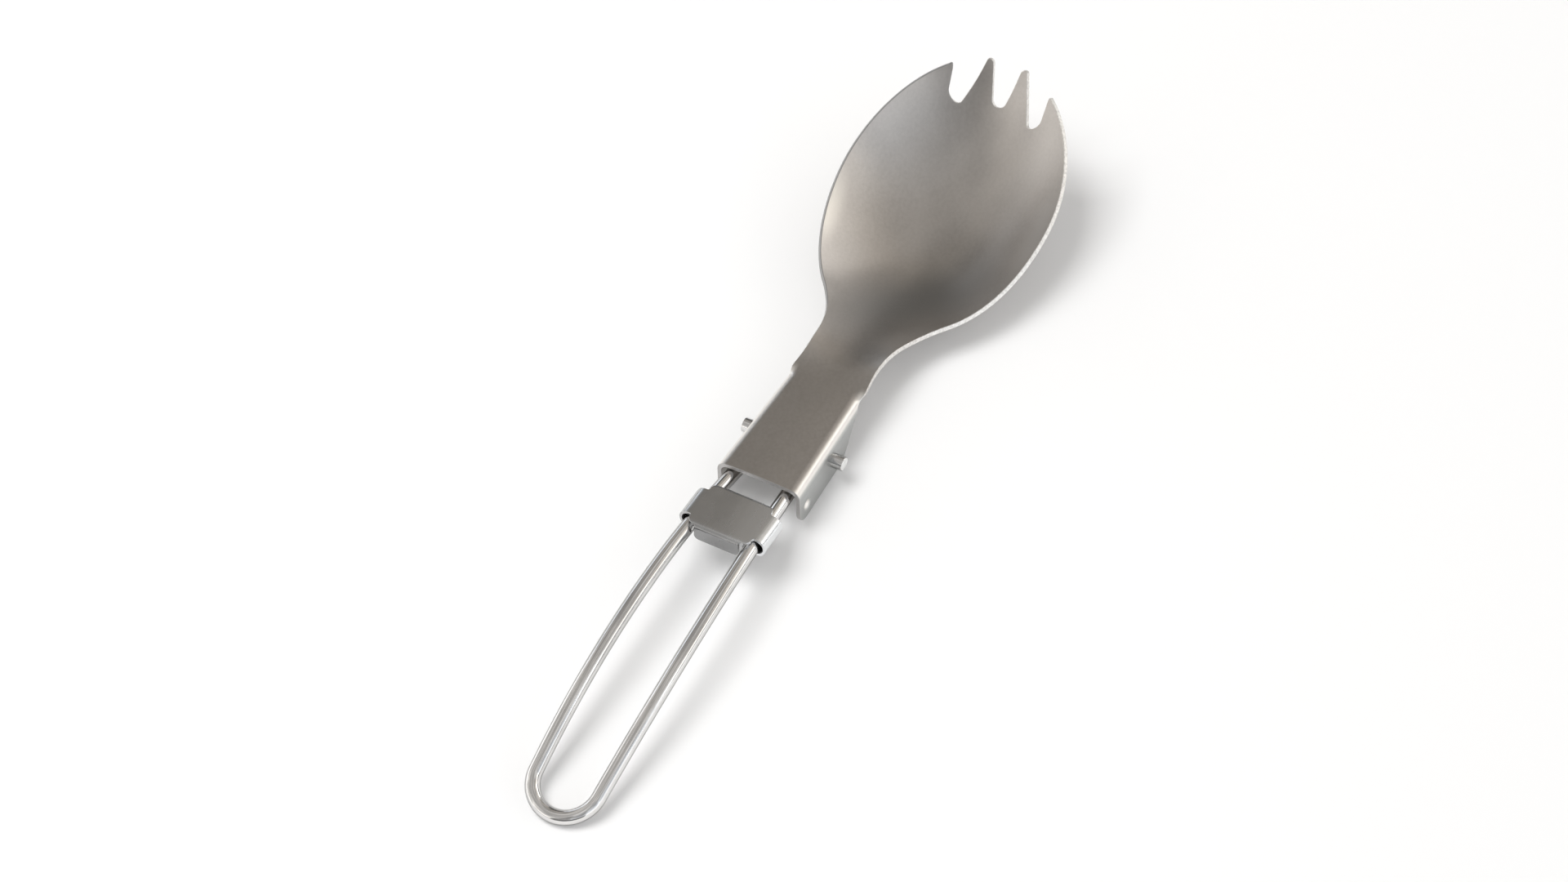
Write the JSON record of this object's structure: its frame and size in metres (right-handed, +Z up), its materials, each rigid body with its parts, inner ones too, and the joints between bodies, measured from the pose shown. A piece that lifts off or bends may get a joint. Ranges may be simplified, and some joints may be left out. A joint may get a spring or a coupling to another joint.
{
  "type": "folding spork",
  "caption": "Folding metal spork: a sheet bowl with tines on a channel neck, a hinged wire loop handle and a clip that slides along the wire.",
  "frame": {"origin": "under the middle of the part's box, on the table that it lies on", "axes": "+X from the handle's loop to the tines, +Y across, +Z up; the bowl faces up and the handle is open, as pictured"},
  "size_m": [0.163, 0.0404, 0.0216],
  "materials": {
    "head_sheet": "satin, bead-blasted titanium",
    "wire": "polished",
    "clip_sheet": "satin"
  },
  "bodies": {
    "head": {"head": "head_sheet"},
    "handle": {"wire_handle": "wire"},
    "clip": {"slide_lock": "clip_sheet"}
  },
  "joints": [
    {"name": "handle_fold", "type": "hinge", "parent": "head", "child": "handle", "pos_m": [0.00032, 0, 0.00453], "axis": [0, -1, 0], "range_deg": [0, 177.5]},
    {"name": "lock_slide", "type": "hinge", "parent": "handle", "child": "clip", "pos_m": [-0.03439, 0, -0.13492], "axis": [0, -1, 0], "range_deg": [-1.55, 18.5]}
  ]
}
